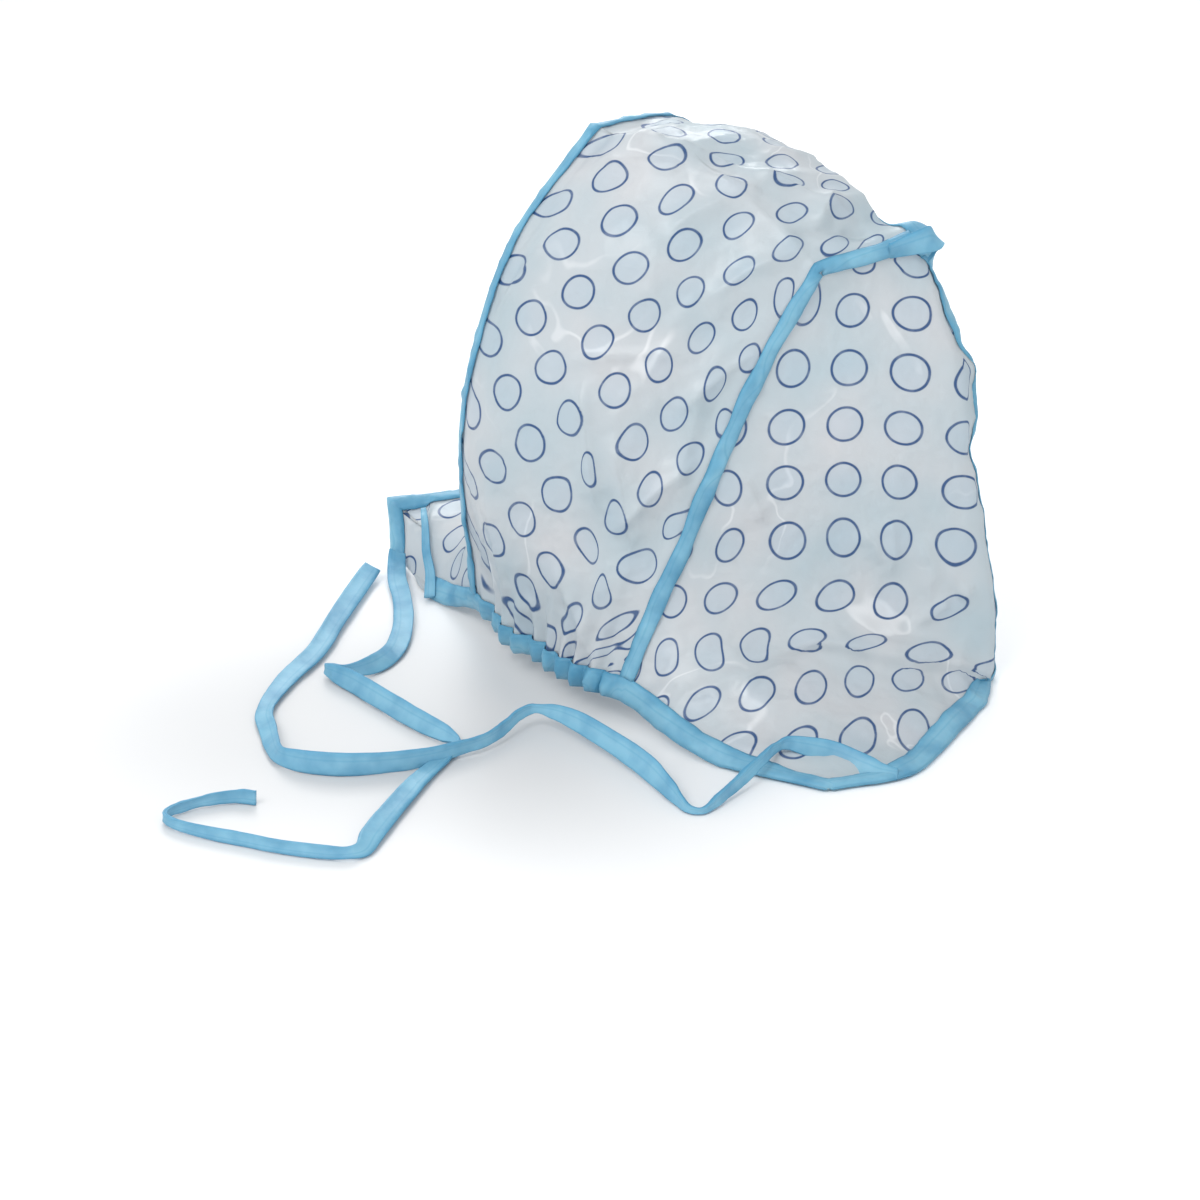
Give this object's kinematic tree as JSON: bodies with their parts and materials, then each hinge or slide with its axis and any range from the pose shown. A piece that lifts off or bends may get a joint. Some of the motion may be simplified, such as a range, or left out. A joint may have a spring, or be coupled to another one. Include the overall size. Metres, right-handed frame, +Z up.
{
  "type": "hair highlighting cap",
  "caption": "Bonnet-shaped cap of thin translucent film printed with outline rings, edges and seams bound in tape, loose tape ties, standing on its neck edge.",
  "frame": {"origin": "on the surface that the cap stands on, in the middle of the cap's own box, its two loose ties left out", "axes": "+Z up, +Y forward out of the face opening, +X to the wearer's right"},
  "size_m": [0.301, 0.3212, 0.2041],
  "materials": {
    "film": "thin milky translucent film, soft gloss, printed with thin navy outline rings on a square grid",
    "tape": "sky-blue binding tape, folded double, slightly translucent, satin"
  },
  "bodies": {
    "root": {"crown_panel": "film", "right_side_panel": "film", "left_side_panel": "film", "face_binding": "tape", "neck_binding": "tape", "right_seam_binding": "tape", "left_seam_binding": "tape", "right_tie": "tape", "left_tie": "tape"}
  },
  "joints": []
}
